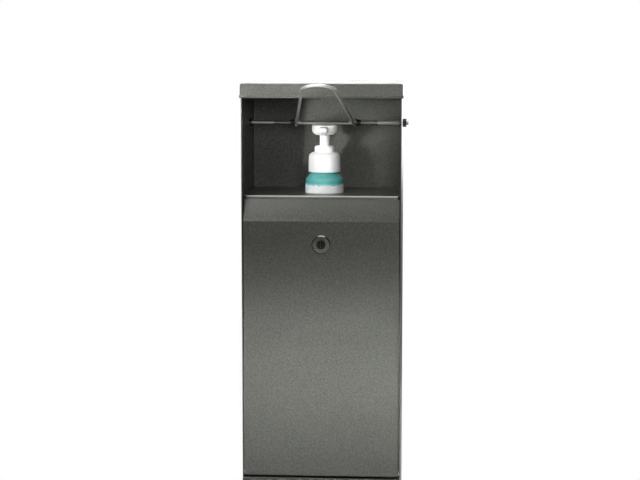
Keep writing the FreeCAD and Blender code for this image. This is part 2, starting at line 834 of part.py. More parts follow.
def platform_rivets():
    """Rivets through the platform's back and the column's back wall, a head at both ends."""
    grip = "2 * steel"
    rivets = []
    for side, sign, _ in SIDES:
        rivet = turned(f"platform_rivet_{side}", [
            ("0", "-rivet_head_high"),
            ("rivet_head - rivet_head_bevel", "-rivet_head_high"),
            ("rivet_head", "-rivet_head_rim"),
            ("rivet_head", "0"),
            ("rivet_radius", "0"),
            ("rivet_radius", grip),
            ("rivet_head", grip),
            ("rivet_head", f"{grip} + rivet_head_rim"),
            ("rivet_head - rivet_head_bevel", f"{grip} + rivet_head_high"),
            ("0", f"{grip} + rivet_head_high"),
        ])
        turn_to(rivet, X_AXIS, 90)
        rivets.append(place(rivet, f"{sign}rivet_spread", BACK, RIVET_Z))
    keep_group("platform_rivets", rivets)


# Bottle, its label and the foam pump, all on the stand's own axis
def bottle():
    inner = "(bottle_radius - bottle_wall)"
    step = "(neck_radius + shoulder_step)"
    body = turned("bottle", [
        ("0", PLATFORM_TOP),
        ("bottle_radius", PLATFORM_TOP),
        ("bottle_radius", SHOULDER),
        (step, NECK_FOOT),
        ("neck_radius", NECK_FOOT),
        ("neck_radius", NECK_TOP),
        ("neck_radius - bottle_wall", NECK_TOP),
        ("neck_radius - bottle_wall", f"{NECK_FOOT} - bottle_wall"),
        (inner, f"{SHOULDER} - bottle_wall"),
        (inner, f"{PLATFORM_TOP} + bottle_wall"),
        ("0", f"{PLATFORM_TOP} + bottle_wall"),
    ])
    rounded(
        body,
        lambda edge, m: is_rim(edge, m, "bottle_radius", PLATFORM_TOP),
        "bottle_foot_round",
    )
    rounded(
        body,
        lambda edge, m: is_rim(edge, m, "bottle_radius", SHOULDER)
        or is_rim(edge, m, step, NECK_FOOT),
        "shoulder_round",
    )
    return keep(body)


def bottle_label():
    inside = "bottle_radius + label_fit"
    return keep(turned("bottle_label", [
        (inside, f"{PLATFORM_TOP} + label_low"),
        (f"{inside} + label_thick", f"{PLATFORM_TOP} + label_low"),
        (f"{inside} + label_thick", f"{PLATFORM_TOP} + label_high"),
        (inside, f"{PLATFORM_TOP} + label_high"),
    ]))


def pump_collar():
    """The screw collar, with the rounded shoulder that the pump stands in."""
    bore = "neck_radius + running_fit"
    mouth = "housing_radius + flange_fit"
    ceiling = f"({NECK_TOP} + housing_flange_thick + flange_fit)"
    shoulder = f"({COLLAR_TOP} - collar_shoulder_high)"
    crown = "(collar_radius - collar_shoulder_wide)"
    body = turned("pump_collar", [
        (bore, COLLAR_BOTTOM),
        ("collar_radius", COLLAR_BOTTOM),
        ("collar_radius", shoulder),
        (crown, COLLAR_TOP),
        (mouth, COLLAR_TOP),
        (mouth, ceiling),
        (bore, ceiling),
    ])
    rounded(
        body,
        lambda edge, m: is_rim(edge, m, "collar_radius", shoulder)
        or is_rim(edge, m, crown, COLLAR_TOP),
        "collar_round",
    )
    return keep(body)


def pump_chaplet():
    """The ring on the collar that guides the stem."""
    body = turned("pump_chaplet", [
        ("stem_radius + running_fit", COLLAR_TOP),
        ("chaplet_radius", COLLAR_TOP),
        ("chaplet_radius", CHAPLET_TOP),
        ("stem_radius + running_fit", CHAPLET_TOP),
    ])
    rounded(body, lambda edge, m: is_rim(edge, m, "chaplet_radius", CHAPLET_TOP), "chaplet_round")
    return keep(body)


def pump_housing():
    """The cylinder under the collar: it hangs by its flange on the bottle's neck."""
    bore, socket = "tube_radius - tube_wall", "tube_radius + tube_fit"
    neck = "tube_radius + tube_fit + housing_wall"
    flange = "neck_radius - flange_fit"
    return keep(turned("pump_housing", [
        (neck, HOUSING_BOTTOM),
        (neck, HOUSING_STEP),
        ("housing_radius", HOUSING_STEP),
        ("housing_radius", NECK_TOP),
        (flange, NECK_TOP),
        (flange, f"{NECK_TOP} + housing_flange_thick"),
        ("housing_radius", f"{NECK_TOP} + housing_flange_thick"),
        ("housing_radius", COLLAR_TOP),
        (HOUSING_INNER, COLLAR_TOP),
        (HOUSING_INNER, f"{HOUSING_STEP} + housing_floor"),
        (bore, f"{HOUSING_STEP} + housing_floor"),
        (bore, f"{HOUSING_BOTTOM} + tube_socket"),
        (socket, f"{HOUSING_BOTTOM} + tube_socket"),
        (socket, HOUSING_BOTTOM),
    ]))


def pump_piston():
    skirt = f"{HOUSING_INNER} - running_fit"
    return keep(turned("pump_piston", [
        ("piston_bore", PISTON_BOTTOM),
        (skirt, PISTON_BOTTOM),
        (skirt, f"{PISTON_BOTTOM} + piston_skirt"),
        ("piston_stem", f"{PISTON_BOTTOM} + piston_skirt"),
        ("piston_stem", PISTON_TOP),
        ("piston_bore", PISTON_TOP),
    ]))


def pump_head():
    """The head with its stem and the nozzle that points to the front."""
    stem_foot = f"{PISTON_BOTTOM} + piston_skirt + running_fit"
    socket = "piston_stem + press_fit"
    body = turned("pump_head", [
        (socket, stem_foot),
        ("stem_radius", stem_foot),
        ("stem_radius", HEAD_BOTTOM),
        ("head_radius - head_dish_wide", f"{HEAD_BOTTOM} + head_dish_high"),
        ("head_radius", f"{HEAD_BOTTOM} + head_side_low"),
        ("head_radius", HEAD_TOP),
        ("0", HEAD_TOP),
        ("0", PISTON_TOP),
        (socket, PISTON_TOP),
    ])
    rounded(body, lambda edge, m: is_rim(edge, m, "head_radius", HEAD_TOP), "head_round")
    nozzle_under = f"{HEAD_BOTTOM} + nozzle_low"
    spout = new_sketch(body, "XZ_Plane")
    rectangle(
        spout,
        "-nozzle_width / 2",
        nozzle_under,
        "nozzle_width / 2",
        f"{HEAD_TOP} - nozzle_under_top",
    )
    pad(body, spout, "nozzle_reach")
    rounded(body, lambda edge, m: near(m.y, "-nozzle_reach"), "nozzle_round")
    mouth = new_sketch(body, "XY_Plane", nozzle_under)
    circle(mouth, "0", "mouth_inset - nozzle_reach", "mouth_radius")
    pocket(body, mouth, "mouth_depth", flip=True)
    return keep(body)


def pump_spring():
    """A coil of wire between the housing's floor and the piston."""
    low = f"({HOUSING_STEP} + housing_floor + spring_wire)"
    high = f"({PISTON_BOTTOM} - spring_wire - spring_play)"
    coil = doc.addObject("Part::Helix", "spring_line")
    coil.setExpression("Radius", cells("spring_radius"))
    coil.setExpression("Height", cells(f"{high} - {low}"))
    coil.setExpression("Pitch", cells(f"({high} - {low}) / spring_turns"))
    section = doc.addObject("Part::RegularPolygon", "spring_section")
    section.Polygon = 6
    section.setExpression("Circumradius", cells("spring_wire"))
    turn_to(section, X_AXIS, 90)
    place(section, "spring_radius", "0", "0")
    spring = doc.addObject("Part::Sweep", "pump_spring")
    spring.Label = "pump_spring"
    spring.Sections = [section]
    spring.Spine = coil
    spring.Solid = True
    spring.Frenet = True
    return keep(place(spring, "0", "0", low))


def dip_tube():
    low, high = f"{PLATFORM_TOP} + tube_lift", f"{HOUSING_BOTTOM} + tube_socket - press_fit"
    return keep(turned("dip_tube", [
        ("tube_radius - tube_wall", low),
        ("tube_radius", low),
        ("tube_radius", high),
        ("tube_radius - tube_wall", high),
    ]))


# Lever: a pivot rod in two sleeves, a loop of bent wire with an eye on each end, and a press bar
def on_pivot(item, turn):
    """Lays a piece made along Z along the pivot, and keeps it."""
    turn_to(item, Y_AXIS, turn)
    return keep(place(item, "0", "pivot_back", ROD_Z))


def sleeves():
    """Threaded sleeves through the side walls, each with a blind bore for the rod's end."""
    tip, bottom = f"{HALF} + sleeve_proud", "sleeve_inner + sleeve_bore"
    bore = "wire_radius + rod_fit"
    for side, _, turn in SIDES:
        on_pivot(turned(f"sleeve_{side}", [
            ("0", tip),
            ("sleeve_radius", tip),
            ("sleeve_radius", "sleeve_inner"),
            (bore, "sleeve_inner"),
            (bore, bottom),
            ("0", bottom),
        ]), turn)


def sleeve_nuts():
    """Hexagon nuts that clamp each side wall from outside and from inside."""
    bore = "sleeve_radius + thread_fit"
    rows = (
        ("outer_nut", "outer_nut_thick", (f"-{HALF} - outer_nut_thick", HALF)),
        ("inner_nut", "inner_nut_thick", (f"-{BAY}", f"{BAY} - inner_nut_thick")),
    )
    for name, thick, places in rows:
        nuts = []
        for (side, _, _), across in zip(SIDES, places):
            nut = hexagon_nut(f"{name}_{side}", "sleeve_nut_flat", thick, bore)
            turn_to(nut, Y_AXIS, 90)
            nuts.append(place(nut, across, "pivot_back", ROD_Z))
        keep_group(f"{name}s", nuts)


def pivot_rod():
    reach = "(sleeve_inner + sleeve_bore - rod_end_play)"
    rod = doc.addObject("Part::Cylinder", "pivot_rod")
    rod.Label = "pivot_rod"
    rod.setExpression("Radius", cells("wire_radius"))
    rod.setExpression("Height", cells(f"2 * {reach}"))
    turn_to(rod, Y_AXIS, 90)
    return keep(place(rod, f"-{reach}", "pivot_back", ROD_Z))


def set_collars():
    """Rings fixed on the rod outside the lever's eyes, which keep it in the middle."""
    inside = "(eye_spread + wire_radius + eye_fit)"
    bore = "wire_radius + thread_fit"
    for side, _, turn in SIDES:
        on_pivot(turned(f"set_collar_{side}", [
            (bore, inside),
            ("set_collar_radius", inside),
            ("set_collar_radius", f"{inside} + set_collar_width"),
            (bore, f"{inside} + set_collar_width"),
        ]), turn)


def wire_ring(name, radius, sweep):
    """A length of the lever's wire bent round the Z axis."""
    ring = doc.addObject("Part::Torus", name)
    ring.setExpression("Radius1", cells(radius))
    ring.setExpression("Radius2", cells("wire_radius"))
    ring.setExpression("Angle3", cells(sweep))
    return ring


def lever_wire():
    """One wire: an eye bent round the pivot rod, a straight leg, the loop, and the same again."""
    # The lever lies flat here, its legs leaning towards each other from the eyes to the loop
    lean = size(LEG_LEAN)
    loop = wire_ring("lever_loop", LOOP_BEND, f"180deg - 2 * {LEG_LEAN}")
    turn_to(loop, Z_AXIS, 180 + lean)
    place(loop, "0", f"{LOOP_BEND} * sin({LEG_LEAN}) - loop_reach", "0")
    pieces = [loop]
    for side, sign, turn in SIDES:
        inwards = FreeCAD.Rotation(Z_AXIS, -math.copysign(lean, turn))
        leg = doc.addObject("Part::Cylinder", f"lever_leg_{side}")
        leg.setExpression("Radius", cells("wire_radius"))
        leg.setExpression("Height", cells(f"loop_reach / cos({LEG_LEAN})"))
        leg.Placement.Rotation = inwards.multiply(FreeCAD.Rotation(X_AXIS, 90))
        pieces.append(place(leg, f"{sign}eye_spread", "0", "0"))
        # The wire's cut end comes round until it all but meets the leg again
        still_open = f"acos(({EYE_RADIUS} - wire_radius - eye_gap) / ({EYE_RADIUS} + wire_radius))"
        eye = wire_ring(f"lever_eye_{side}", EYE_RADIUS, f"360deg - {still_open}")
        eye.Placement.Rotation = inwards.multiply(FreeCAD.Rotation(Y_AXIS, 90))
        pieces.append(place(eye, f"{sign}eye_spread", "0", EYE_RADIUS))
    lever = doc.addObject("Part::MultiFuse", "lever_wire")
    lever.Label = "lever_wire"
    lever.Shapes = pieces
    # Its front is raised, and its eyes' centres come onto the pivot
    turn_to(lever, X_AXIS, -size("lever_angle"))
    deep = f"pivot_back - {EYE_RADIUS} * sin({LEVER_SLOPE})"
    return keep(place(lever, "0", deep, f"{ROD_Z} - {EYE_RADIUS} * cos({LEVER_SLOPE})"))


def press_bar():
    """A straight piece of the same wire, welded under the legs over the middle of the pump."""
    along_leg = f"pivot_back / cos({LEVER_SLOPE})"
    half = f"(eye_spread - (eye_spread - loop_half) / loop_reach * {along_leg})"
    bar = doc.addObject("Part::Cylinder", "press_bar")
    bar.Label = "press_bar"
    bar.setExpression("Radius", cells("wire_radius"))
    bar.setExpression("Height", cells(f"2 * {half}"))
    turn_to(bar, Y_AXIS, 90)
    return keep(place(bar, f"-{half}", "0", f"{HEAD_TOP} + press_gap + wire_radius"))


base_plate()
column_screws()
column_shell()
lower_front_panel()
shelf()
hood()
bottle_platform()
platform_rivets()
door()
hinge_pins()
lock_body()
lock_plug()
lock_cam()
bottle()
bottle_label()
pump_collar()
pump_chaplet()
pump_housing()
pump_piston()
pump_head()
pump_spring()
dip_tube()
sleeves()
sleeve_nuts()
pivot_rod()
set_collars()
lever_wire()
press_bar()
doc.recompute()

for item in doc.Objects:
    assert not {"Invalid", "Error"} & set(item.State), f"{item.Name}: {item.State}"
os.makedirs("parts", exist_ok=True)
for node in nodes:
    shape = node.Shape
    assert not shape.isNull() and shape.isValid(), node.Label
    assert shape.Volume > 0, node.Label
    shape.exportStep(f"parts/{node.Label}.step")
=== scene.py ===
"""The look of a hand sanitizer floor stand: a coated steel column with a wire lever over a pump bottle."""
import math

import bmesh
import bpy
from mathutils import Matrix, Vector


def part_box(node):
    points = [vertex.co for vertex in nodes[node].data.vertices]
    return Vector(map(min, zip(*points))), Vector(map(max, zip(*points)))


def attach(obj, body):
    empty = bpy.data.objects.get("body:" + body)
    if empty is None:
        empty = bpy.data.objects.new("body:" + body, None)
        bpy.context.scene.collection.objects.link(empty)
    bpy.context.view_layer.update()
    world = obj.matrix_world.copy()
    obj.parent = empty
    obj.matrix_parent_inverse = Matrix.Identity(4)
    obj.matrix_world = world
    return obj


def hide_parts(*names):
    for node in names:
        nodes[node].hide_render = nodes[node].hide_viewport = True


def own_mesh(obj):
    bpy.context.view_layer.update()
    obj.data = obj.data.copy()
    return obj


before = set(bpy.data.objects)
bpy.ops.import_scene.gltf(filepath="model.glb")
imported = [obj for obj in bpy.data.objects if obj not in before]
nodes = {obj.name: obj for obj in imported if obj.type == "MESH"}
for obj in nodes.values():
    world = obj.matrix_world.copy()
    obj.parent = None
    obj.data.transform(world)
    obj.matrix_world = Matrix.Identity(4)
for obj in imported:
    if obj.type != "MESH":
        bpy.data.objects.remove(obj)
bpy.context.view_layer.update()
scene = bpy.context.scene
scene.view_settings.view_transform = "Standard"
bpy.ops.object.select_all(action="DESELECT")


# Powder-coated sheet steel
# The base plate, column, lower panel, shelf, hood, bottle platform and door are laser-cut, bent
# and welded sheet under one satin powder coat: dark greenish grey, with a fine pebble and flake.
class Wave:
    """A shader value that sums can be written on."""

    def __init__(self, tree, socket):
        self.tree = tree
        self.socket = socket

    def maths(self, operation, other=None):
        node = self.tree.nodes.new("ShaderNodeMath")
        node.operation = operation
        for slot, value in enumerate((self, other)):
            if value is None:
                continue
            if isinstance(value, Wave):
                self.tree.links.new(value.socket, node.inputs[slot])
            else:
                node.inputs[slot].default_value = value
        return Wave(self.tree, node.outputs[0])

    def __add__(self, other):
        return self.maths("ADD", other)

    def __mul__(self, other):
        return self.maths("MULTIPLY", other)

    def __sub__(self, other):
        return self.maths("SUBTRACT", other)


class Finish:
    """A material under construction, with one Principled surface."""

    def __init__(self, name):
        self.material = bpy.data.materials.new(name)
        self.material.use_nodes = True
        self.tree = self.material.node_tree
        self.surface = self.tree.nodes["Principled BSDF"]

    def node(self, kind, settings=None, **inputs):
        made = self.tree.nodes.new(kind)
        for name, value in (settings or {}).items():
            setattr(made, name, value)
        for name, value in inputs.items():
            self.feed(made, name.replace("_", " "), value)
        return made

    def feed(self, made, name, value):
        socket = made.inputs[int(name)] if name.isdigit() else made.inputs[name]
        if isinstance(value, Wave):
            self.tree.links.new(value.socket, socket)
        else:
            socket.default_value = value

    def out(self, made, name=0):
        return Wave(self.tree, made.outputs[name])

    def place(self, stretch=(1, 1, 1)):
        where = self.node("ShaderNodeTexCoord")
        return self.out(self.node("ShaderNodeMapping", Vector=self.out(where, "Object"), Scale=stretch))

    def noise(self, size, detail=2.0, rough=0.5, where=None):
        grain = self.node(
            "ShaderNodeTexNoise",
            Vector=where or self.place(),
            Scale=1 / size,
            Detail=detail,
            Roughness=rough,
        )
        return self.out(grain, "Fac")

    def band(self, value, low, high, start=0.0, end=1.0):
        ranged = self.node("ShaderNodeMapRange", {"interpolation_type": "SMOOTHSTEP"}, Value=value)
        for name, number in (("From Min", low), ("From Max", high), ("To Min", start), ("To Max", end)):
            self.feed(ranged, name, number)
        return self.out(ranged)

    def mix(self, factor, first, second):
        blend = self.node("ShaderNodeMix", {"data_type": "RGBA"})
        for slot, value in ((0, factor), (6, first), (7, second)):
            if isinstance(value, Wave):
                self.tree.links.new(value.socket, blend.inputs[slot])
            else:
                blend.inputs[slot].default_value = value
        return Wave(self.tree, blend.outputs[2])

    def bump(self, height, distance, strength):
        return self.out(self.node("ShaderNodeBump", Height=height, Distance=distance, Strength=strength))

    def set(self, **inputs):
        for name, value in inputs.items():
            self.feed(self.surface, name.replace("_", " "), value)


def shade(red, green, blue):
    """A colour from its 0-255 screen values."""
    linear = [
        (c / 255) / 12.92 if c <= 10 else (((c / 255) + 0.055) / 1.055) ** 2.4
        for c in (red, green, blue)
    ]
    return (*linear, 1.0)


def dress(finish, *names):
    """Give nodes a finish in place of the one they came with."""
    for name in names:
        target = nodes[name]
        for index in range(len(target.material_slots)):
            target.material_slots[index].material = finish.material


PEBBLE = 0.0009
FLAKE = 0.00045
PEEL = 0.0026
SMEAR = 0.03
COAT_DEEP = shade(66, 67, 63)
COAT_PALE = shade(79, 80, 75)


def powder_coat(name, deep, pale):
    """The coat's finish with its pebble, and its tone with the flakes in it."""
    made = Finish(name)
    pebble = made.noise(PEBBLE, detail=3.0, rough=0.55)
    flake = made.noise(FLAKE, detail=1.0)
    peel = made.noise(PEEL, detail=3.0, rough=0.6)
    smear = made.noise(SMEAR, detail=4.0, rough=0.6)
    tone = made.mix(made.band(peel, 0.36, 0.64), deep, pale)
    tone = made.mix(made.band(flake, 0.6, 0.78) * 0.5, tone, shade(150, 151, 145))
    tone = made.mix(made.band(flake, 0.36, 0.24) * 0.4, tone, shade(48, 49, 46))
    made.set(
        Roughness=made.band(smear, 0.3, 0.7, 0.36, 0.42) + (pebble - 0.5) * 0.1,
        Metallic=0.7,
        Normal=made.bump(pebble + peel * 0.8, 0.0001, 0.5),
    )
    return made, tone


coated, coat_tone = powder_coat("satin_powder_coat", COAT_DEEP, COAT_PALE)
coated.set(Base_Color=coat_tone)
dress(coated, "base_plate", "column_shell", "lower_front_panel", "hood", "bottle_platform")

# Painted light: the shelf's coat is painted paler than the rest for the overhead light that its flat top
# catches, and a painted highlight runs along its front bend
SHELF_BEND = 0.0030
PAINTED_HIGHLIGHT_FULL = 0.0008
shelf_low, shelf_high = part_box("shelf")
# These paler tones are painted light, standing in for the overhead light on the shelf's flat top
shelf_coat, shelf_painted_lit_tone = powder_coat("shelf_coat_with_painted_light", shade(98, 99, 94), shade(112, 113, 108))
where = shelf_coat.node("ShaderNodeSeparateXYZ", Vector=shelf_coat.place())
forward = shelf_coat.band(shelf_coat.out(where, "Y"), shelf_low[1] + SHELF_BEND, shelf_low[1] + PAINTED_HIGHLIGHT_FULL)
upward = shelf_coat.band(shelf_coat.out(where, "Z"), shelf_high[2] - SHELF_BEND, shelf_high[2] - PAINTED_HIGHLIGHT_FULL)
# Painted highlight: a near-white tone along the front bend, where the bend would catch the lamps
shelf_coat.set(Base_Color=shelf_coat.mix(forward * upward * 0.8, shelf_painted_lit_tone, shade(190, 191, 186)))
dress(shelf_coat, "shelf")

# Painted light: the door's slanted top faces up into the overhead light, so its coat is painted paler
# there
PAINTED_TOP_LIGHT = 0.0270
PAINTED_TOP_LIGHT_FULL = 0.0040
door_low, door_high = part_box("door")
door_coat, door_tone = powder_coat("door_coat_with_painted_light", COAT_DEEP, COAT_PALE)
rise = door_coat.out(door_coat.node("ShaderNodeSeparateXYZ", Vector=door_coat.place()), "Z")
# A band along the door's top edge, where the paler tone is painted light
painted_top_light_mask = door_coat.band(rise, door_high[2] - PAINTED_TOP_LIGHT, door_high[2] - PAINTED_TOP_LIGHT_FULL)
# Painted light: the paler tone stands in for the overhead light on the slanted top
door_coat.set(Base_Color=door_coat.mix(painted_top_light_mask * 0.6, door_tone, shade(92, 93, 88)))
dress(door_coat, "door")


# Zinc-plated fastenings
# Countersunk screws and nuts hold the column on its base, blind rivets hold the bottle platform,
# and the door hangs on two short pins. All are steel with a thin bright zinc plating.
zinc = Finish("bright_zinc")
frosting = zinc.noise(0.0012, detail=3.0)
zinc.set(
    Base_Color=zinc.mix(frosting, shade(176, 180, 184), shade(205, 207, 208)),
    Metallic=1.0,
    Roughness=zinc.band(frosting, 0.3, 0.7, 0.22, 0.38),
    Normal=zinc.bump(frosting, 0.00003, 0.4),
)
dress(zinc, "column_screws", "column_nuts", "platform_rivets", "hinge_pin_left", "hinge_pin_right")


# Lever of drawn wire
# One length of bright stainless wire is bent to the loop and its two eyes, and a straight bar of
# the same wire is welded under its legs. The rod that it turns on is the same stock.
DRAW_MARK = 0.0007
wire = Finish("drawn_wire")
draw_marks = wire.noise(DRAW_MARK, detail=3.0, where=wire.place(stretch=(0.12, 1, 1)))
wire.set(
    Base_Color=wire.mix(draw_marks, shade(206, 206, 202), shade(238, 238, 235)),
    Metallic=0.9,
    Roughness=wire.band(draw_marks, 0.3, 0.7, 0.34, 0.46),
    Normal=wire.bump(draw_marks, 0.00002, 0.4),
)
dress(wire, "lever_wire")

# The bar and the rod get a darker, slightly rougher copy of the wire's finish
darker_wire = Finish("darker_copy_of_wire")
darker_wire_marks = darker_wire.noise(DRAW_MARK, detail=3.0, where=darker_wire.place(stretch=(0.12, 1, 1)))
darker_wire.set(
    Base_Color=darker_wire.mix(darker_wire_marks, shade(118, 118, 114), shade(152, 152, 148)),
    Metallic=0.9,
    Roughness=darker_wire.band(darker_wire_marks, 0.3, 0.7, 0.36, 0.48),
)
dress(darker_wire, "pivot_rod", "press_bar")

WELD_LONG = 0.0030
WELD_WIDE = 0.0026
WELD_HIGH = 0.0019
WELD_LIFT = 0.0001
SCALE_STEP = 0.0007
weld = Finish("weld_metal")
scales = weld.noise(SCALE_STEP, detail=2.0, where=weld.place(stretch=(1, 0.3, 1)))
heat = weld.noise(0.003, detail=2.0)
weld.set(
    Base_Color=weld.mix(heat, shade(120, 114, 104), shade(176, 174, 168)),
    Metallic=1.0,
    Roughness=weld.band(scales, 0.3, 0.7, 0.3, 0.5),
    Normal=weld.bump(scales, 0.0002, 0.6),
)


def pick(kind, test):
    """Select the edges or faces of the open mesh whose middle and direction pass a test."""
    bpy.ops.mesh.select_mode(type=kind)
    bpy.ops.mesh.select_all(action="DESELECT")
    mesh = bpy.context.object.data
    shape = bmesh.from_edit_mesh(mesh)
    if kind == "FACE":
        for face in shape.faces:
            face.select_set(test(face.calc_center_median(), face.normal))
    if kind == "EDGE":
        for edge in shape.edges:
            ends = [point.co for point in edge.verts]
            edge.select_set(test((ends[0] + ends[1]) / 2, (ends[1] - ends[0]).normalized()))
    shape.select_flush_mode()
    bmesh.update_edit_mesh(mesh)


def apply_modifier(piece, kind, **settings):
    """Put a modifier on a piece, set it and apply it."""
    bpy.context.view_layer.objects.active = piece
    modifier = piece.modifiers.new(kind.lower(), kind)
    for name, value in settings.items():
        setattr(modifier, name, value)
    bpy.ops.object.modifier_apply(modifier=modifier.name)


def settle(piece, name, finish, body, smooth=40):
    """Name a finished piece, smooth it, give it its finish and let it ride on its body."""
    bpy.ops.object.select_all(action="DESELECT")
    piece.select_set(True)
    bpy.context.view_layer.objects.active = piece
    bpy.ops.object.transform_apply(location=True, rotation=True, scale=True)
    bpy.ops.object.shade_smooth_by_angle(angle=math.radians(smooth))
    piece.name = name
    piece.data.name = name
    piece.data.materials.clear()
    piece.data.materials.append(finish.material)
    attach(piece, body)
    bpy.ops.object.select_all(action="DESELECT")


bar_low, bar_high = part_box("press_bar")
for side, across in (("left", bar_low[0] + WELD_WIDE), ("right", bar_high[0] - WELD_WIDE)):
    bpy.ops.mesh.primitive_uv_sphere_add(
        segments=32,
        ring_count=20,
        radius=1,
        location=(across, (bar_low[1] + bar_high[1]) / 2, bar_high[2] + WELD_LIFT),
        scale=(WELD_WIDE, WELD_LONG, WELD_HIGH),
    )
    bead = bpy.context.object
    apply_modifier(bead, "SUBSURF", levels=1, render_levels=1)
    settle(bead, f"weld_bead_{side}", weld, "lever")


# Sleeves on the rod
# Two bright turned tubes carry the rod in the column's walls and keep the lever in the middle.
# Each is turned from steel bar and bored through, and a nut on each side of the wall clamps it.
sleeve = Finish("turned_sleeve")
tool_marks = sleeve.noise(0.0004, detail=2.0, where=sleeve.place(stretch=(1, 0.05, 0.05)))
sleeve.set(
    Base_Color=sleeve.mix(tool_marks, shade(150, 151, 148), shade(186, 187, 184)),
    Metallic=0.9,
    Roughness=sleeve.band(tool_marks, 0.3, 0.7, 0.34, 0.46),
    Normal=sleeve.bump(tool_marks, 0.00002, 0.5),
)
dress(sleeve, "sleeve_left", "sleeve_right")


# Blackened nuts and set collars
# The sleeves' nuts and the collars beside the lever's eyes are steel, blackened and oiled. Each
# collar is held on the rod by a grub screw with a hexagon socket.
black = Finish("black_oxide")
oxide = black.noise(0.0015, detail=3.0)
black.set(
    Base_Color=black.mix(oxide, shade(34, 34, 33), shade(56, 56, 53)),
    Metallic=0.85,
    Roughness=black.band(oxide, 0.3, 0.7, 0.28, 0.42),
    Normal=black.bump(oxide, 0.00002, 0.4),
)
dress(black, "outer_nuts", "inner_nuts", "set_collar_left", "set_collar_right")

GRUB_RADIUS = 0.0016
GRUB_HIGH = 0.0012
SOCKET_RADIUS = 0.0009
GRUB_EDGE = 0.00012


def cut(piece, other, operation="DIFFERENCE"):
    """Cut a shape out of a piece, or join the two, and drop the other shape."""
    apply_modifier(piece, "BOOLEAN", object=other, operation=operation, solver="EXACT")
    bpy.data.objects.remove(other, do_unlink=True)


for side in ("left", "right"):
    low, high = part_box(f"set_collar_{side}")
    middle = [(a + b) / 2 for a, b in zip(low, high)]
    face = (middle[0], low[1] + GRUB_HIGH / 3, middle[2])
    bpy.ops.mesh.primitive_cylinder_add(
        vertices=32, radius=GRUB_RADIUS, depth=GRUB_HIGH, location=face, rotation=(math.pi / 2, 0, 0)
    )
    grub = bpy.context.object
    bpy.ops.mesh.primitive_cylinder_add(
        vertices=6,
        radius=SOCKET_RADIUS,
        depth=GRUB_HIGH,
        location=(face[0], face[1] - GRUB_HIGH / 3, face[2]),
        rotation=(math.pi / 2, 0, 0),
    )
    cut(grub, bpy.context.object)
    apply_modifier(grub, "BEVEL", width=GRUB_EDGE, segments=2, limit_method="ANGLE")
    settle(grub, f"grub_screw_{side}", black, "lever", smooth=30)


# Cam lock
# A die-cast barrel with a darkened round face, a black plug with the key's slot, and behind the
# door a nut and a steel cam. The face is finely mottled from handling.
rim = Finish("lock_rim_dark_nickel")
rim_wear = rim.noise(0.0009, detail=3.0)
rim.set(
    Base_Color=rim.mix(rim_wear, shade(70, 70, 68), shade(112, 112, 108)),
    Metallic=1.0,
    Roughness=rim.band(rim_wear, 0.3, 0.7, 0.16, 0.24),
    Normal=rim.bump(rim_wear, 0.00002, 0.3),
)
core = Finish("lock_core_black")
core_grain = core.noise(0.0008, detail=2.0)
core.set(
    Base_Color=core.mix(core_grain, shade(3, 3, 3), shade(9, 9, 9)),
    Specular_IOR_Level=0.25,
    Roughness=core.band(core_grain, 0.3, 0.7, 0.22, 0.34),
)
dress(rim, "lock_body")
dress(core, "lock_plug")
dress(zinc, "lock_nut", "lock_cam", "cam_screw")


# Pump
# Injection-moulded white polypropylene: the head with its nozzle, the chaplet and the collar.
# The housing and the piston below are the same plastic without the white, and slightly clear.
white = Finish("white_polypropylene")
flow = white.noise(0.006, detail=3.0)
white.set(
    Base_Color=white.mix(flow, shade(247, 248, 247), shade(252, 252, 251)),
    Roughness=white.band(flow, 0.3, 0.7, 0.28, 0.36),
    Subsurface_Weight=0.12,
    Subsurface_Radius=(0.004, 0.004, 0.004),
    Normal=white.bump(flow, 0.0001, 0.25),
)
natural = Finish("natural_polypropylene")
haze = natural.noise(0.008, detail=2.0)
natural.set(
    Base_Color=natural.mix(haze, shade(222, 226, 224), shade(234, 237, 235)),
    Roughness=natural.band(haze, 0.3, 0.7, 0.3, 0.4),
    Transmission_Weight=0.35,
)
dress(white, "pump_chaplet")
dress(natural, "pump_housing", "pump_piston")
dress(zinc, "pump_spring")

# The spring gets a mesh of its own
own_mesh(nodes["pump_spring"])

# Points this near to each other are one point
TOUCHING = 0.00001


def drawn_up(rings, sides=96):
    """A round wall drawn up ring by ring round the pump's axis, left open for editing."""
    (radius, height), *others = rings
    bpy.ops.mesh.primitive_circle_add(vertices=sides, radius=radius, location=(0, 0, height))
    bpy.ops.object.transform_apply(location=True)
    bpy.ops.object.mode_set(mode="EDIT")
    bpy.ops.mesh.select_all(action="SELECT")
    for wide, high in others:
        bpy.ops.mesh.extrude_region_move(TRANSFORM_OT_translate={"value": (0, 0, high - height)})
        grow = wide / radius
        bpy.ops.transform.resize(value=(grow, grow, 1), center_override=(0, 0, high))
        radius, height = wide, high
    return bpy.context.object


def close_wall():
    """Weld the wall's doubles, point its faces outwards and leave edit mode."""
    bpy.ops.mesh.select_all(action="SELECT")
    bpy.ops.mesh.remove_doubles(threshold=TOUCHING)
    bpy.ops.mesh.normals_make_consistent(inside=False)
    bpy.ops.object.mode_set(mode="OBJECT")


def arc(centre, radius, start, end, steps):
    """Points of a rounded corner, as (radius, height) pairs."""
    turns = [math.radians(start + (end - start) * i / steps) for i in range(steps + 1)]
    return [(centre[0] + radius * math.cos(a), centre[1] + radius * math.sin(a)) for a in turns]


